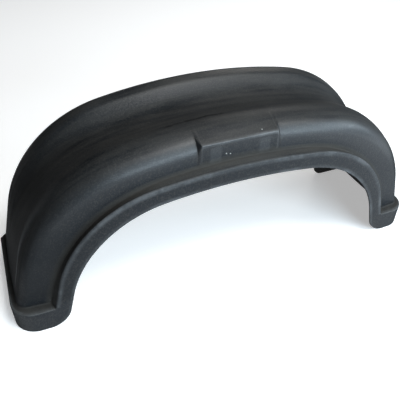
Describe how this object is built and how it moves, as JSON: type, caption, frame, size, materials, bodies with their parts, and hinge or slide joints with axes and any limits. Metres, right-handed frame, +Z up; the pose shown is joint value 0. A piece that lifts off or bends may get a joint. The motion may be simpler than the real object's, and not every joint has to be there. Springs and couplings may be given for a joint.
{
  "type": "trailer mudguard",
  "caption": "Arched one-piece moulded mudguard with two crests along its top, a stepped lip round the wheel opening, flat feet and a flat pad for a side lamp.",
  "frame": {"origin": "on the ground plane, under the middle of the part's bounding box", "axes": "+X along the length of the wheel arch, +Y from the outer side towards the trailer, +Z up"},
  "size_m": [0.74, 0.206, 0.297],
  "materials": {
    "black_plastic": "satin moulded charcoal"
  },
  "bodies": {
    "root": {"mudguard": "black_plastic"}
  },
  "joints": []
}
